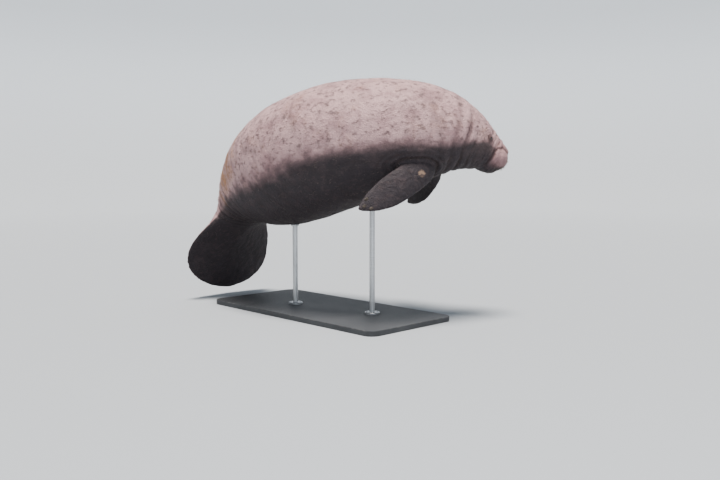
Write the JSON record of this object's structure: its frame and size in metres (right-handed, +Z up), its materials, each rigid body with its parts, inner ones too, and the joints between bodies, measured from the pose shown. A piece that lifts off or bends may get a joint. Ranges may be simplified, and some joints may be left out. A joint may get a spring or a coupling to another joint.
{
  "type": "manatee",
  "caption": "Life-size still model of a very rotund adult manatee, swimming with its head turned aside and its tail paddle hanging, on a plain display stand.",
  "frame": {"origin": "middle of the underside of the stand's base, where it rests on the floor", "axes": "+X the way the middle of the body heads, +Y to the animal's left, +Z up"},
  "size_m": [2.0372, 1.0935, 1.408],
  "materials": {
    "hide": "thick bare wrinkled skin, warm grey-brown and mottled, matt with a faint damp sheen, thinly dusted with orange-tan algae",
    "eye": "glossy dark brown, almost black",
    "nail": "worn dark brown horn, faintly ridged, satin",
    "stand_board": "board painted charcoal, satin",
    "stand_steel": "fine brushed, semi-bright"
  },
  "bodies": {
    "root": {"head": "hide", "neck": "hide", "chest": "hide", "belly": "hide", "loin": "hide", "tail_stock": "hide", "tail_paddle": "hide", "flipper_left": "hide", "flipper_right": "hide", "eye_left": "eye", "eye_right": "eye", "nail_left_1": "nail", "nail_left_2": "nail", "nail_left_3": "nail", "nail_right_1": "nail", "nail_right_2": "nail", "nail_right_3": "nail", "stand_base": "stand_board", "stand_rod_front": "stand_steel", "stand_rod_rear": "stand_steel", "stand_flange_front": "stand_steel", "stand_flange_rear": "stand_steel"}
  },
  "joints": []
}
